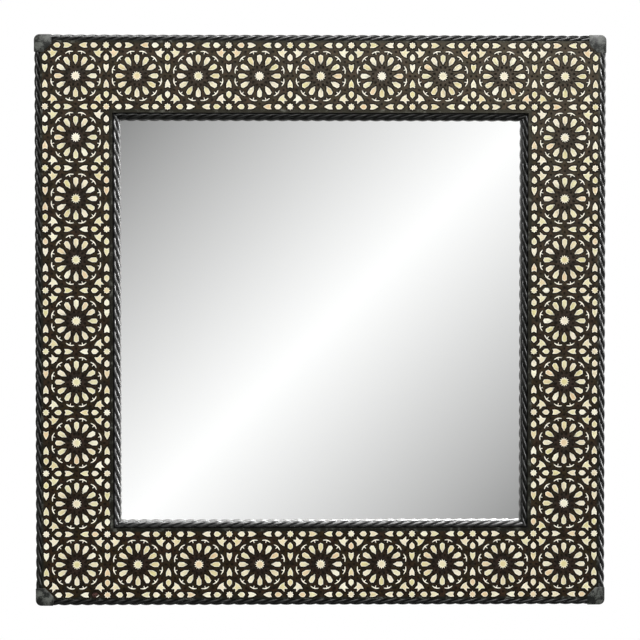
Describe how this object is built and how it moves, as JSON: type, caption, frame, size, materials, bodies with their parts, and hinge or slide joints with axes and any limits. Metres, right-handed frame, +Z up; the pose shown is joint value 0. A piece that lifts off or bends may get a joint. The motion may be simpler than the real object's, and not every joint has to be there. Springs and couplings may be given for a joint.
{
  "type": "framed wall mirror",
  "caption": "Square wall mirror in a wide dark wood frame with pale rosette inlay, edged inside and out with black rope moulding, with strap hangers and turn buttons behind.",
  "frame": {"origin": "centre of the frame in the plane of the rails' backs, where it meets the wall side", "axes": "+X to the viewer's right, +Z up, the mirror faces -Y and +Y points to the wall"},
  "size_m": [0.762, 0.028, 0.762],
  "materials": {
    "rail": "ebonised, satin",
    "spline": "bare hardwood",
    "fretwork": "dark stained, satin, with a black line round each pocket",
    "inlay": "polished bone and shell, cream, each piece a little different",
    "rope": "carved, black, semi-gloss",
    "corner_block": "black with worn grey mottling, satin",
    "mirror": "silvered float glass",
    "card": "grey card",
    "board": "smooth brown hardboard",
    "hardware": "nickel plated steel",
    "screw": "zinc plated steel",
    "bumper": "matt black rubber"
  },
  "bodies": {
    "root": {"top_rail": "rail", "left_rail": "rail", "bottom_rail": "rail", "right_rail": "rail", "mitre_splines": "spline", "fretwork_top": "fretwork", "fretwork_left": "fretwork", "fretwork_bottom": "fretwork", "fretwork_right": "fretwork", "inlay_rosette_centres": "inlay", "inlay_petals": "inlay", "inlay_tulips": "inlay", "inlay_darts": "inlay", "inlay_beads": "inlay", "inlay_corner_stars": "inlay", "outer_rope_top": "rope", "outer_rope_left": "rope", "outer_rope_bottom": "rope", "outer_rope_right": "rope", "inner_rope_top": "rope", "inner_rope_left": "rope", "inner_rope_bottom": "rope", "inner_rope_right": "rope", "corner_blocks": "corner_block", "mirror_glass": "mirror", "spacer_card": "card", "backing_board": "board", "hanger_strap_left": "hardware", "hanger_strap_right": "hardware", "hanger_screws": "screw", "turn_button_screws": "screw", "wall_bumpers": "bumper"},
    "d_ring_left": {"d_ring_left": "hardware"},
    "d_ring_right": {"d_ring_right": "hardware"},
    "turn_button_1": {"turn_button_1": "hardware"},
    "turn_button_2": {"turn_button_2": "hardware"},
    "turn_button_3": {"turn_button_3": "hardware"},
    "turn_button_4": {"turn_button_4": "hardware"},
    "turn_button_5": {"turn_button_5": "hardware"},
    "turn_button_6": {"turn_button_6": "hardware"},
    "turn_button_7": {"turn_button_7": "hardware"},
    "turn_button_8": {"turn_button_8": "hardware"}
  },
  "joints": [
    {"name": "d_ring_left_hinge", "type": "hinge", "parent": "root", "child": "d_ring_left", "pos_m": [-0.325, 0.00305, 0.231], "axis": [1, 0, 0], "range_deg": [0, 180]},
    {"name": "d_ring_right_hinge", "type": "hinge", "parent": "root", "child": "d_ring_right", "pos_m": [0.325, 0.00305, 0.231], "axis": [1, 0, 0], "range_deg": [0, 180]},
    {"name": "turn_button_1_pivot", "type": "hinge", "parent": "root", "child": "turn_button_1", "pos_m": [-0.13755, 0.0008, 0.28915], "axis": [0, 1, 0], "continuous": true},
    {"name": "turn_button_2_pivot", "type": "hinge", "parent": "root", "child": "turn_button_2", "pos_m": [0.13755, 0.0008, 0.28915], "axis": [0, 1, 0], "continuous": true},
    {"name": "turn_button_3_pivot", "type": "hinge", "parent": "root", "child": "turn_button_3", "pos_m": [-0.28915, 0.0008, -0.13755], "axis": [0, 1, 0], "continuous": true},
    {"name": "turn_button_4_pivot", "type": "hinge", "parent": "root", "child": "turn_button_4", "pos_m": [-0.28915, 0.0008, 0.13755], "axis": [0, 1, 0], "continuous": true},
    {"name": "turn_button_5_pivot", "type": "hinge", "parent": "root", "child": "turn_button_5", "pos_m": [0.13755, 0.0008, -0.28915], "axis": [0, 1, 0], "continuous": true},
    {"name": "turn_button_6_pivot", "type": "hinge", "parent": "root", "child": "turn_button_6", "pos_m": [-0.13755, 0.0008, -0.28915], "axis": [0, 1, 0], "continuous": true},
    {"name": "turn_button_7_pivot", "type": "hinge", "parent": "root", "child": "turn_button_7", "pos_m": [0.28915, 0.0008, 0.13755], "axis": [0, 1, 0], "continuous": true},
    {"name": "turn_button_8_pivot", "type": "hinge", "parent": "root", "child": "turn_button_8", "pos_m": [0.28915, 0.0008, -0.13755], "axis": [0, 1, 0], "continuous": true}
  ]
}
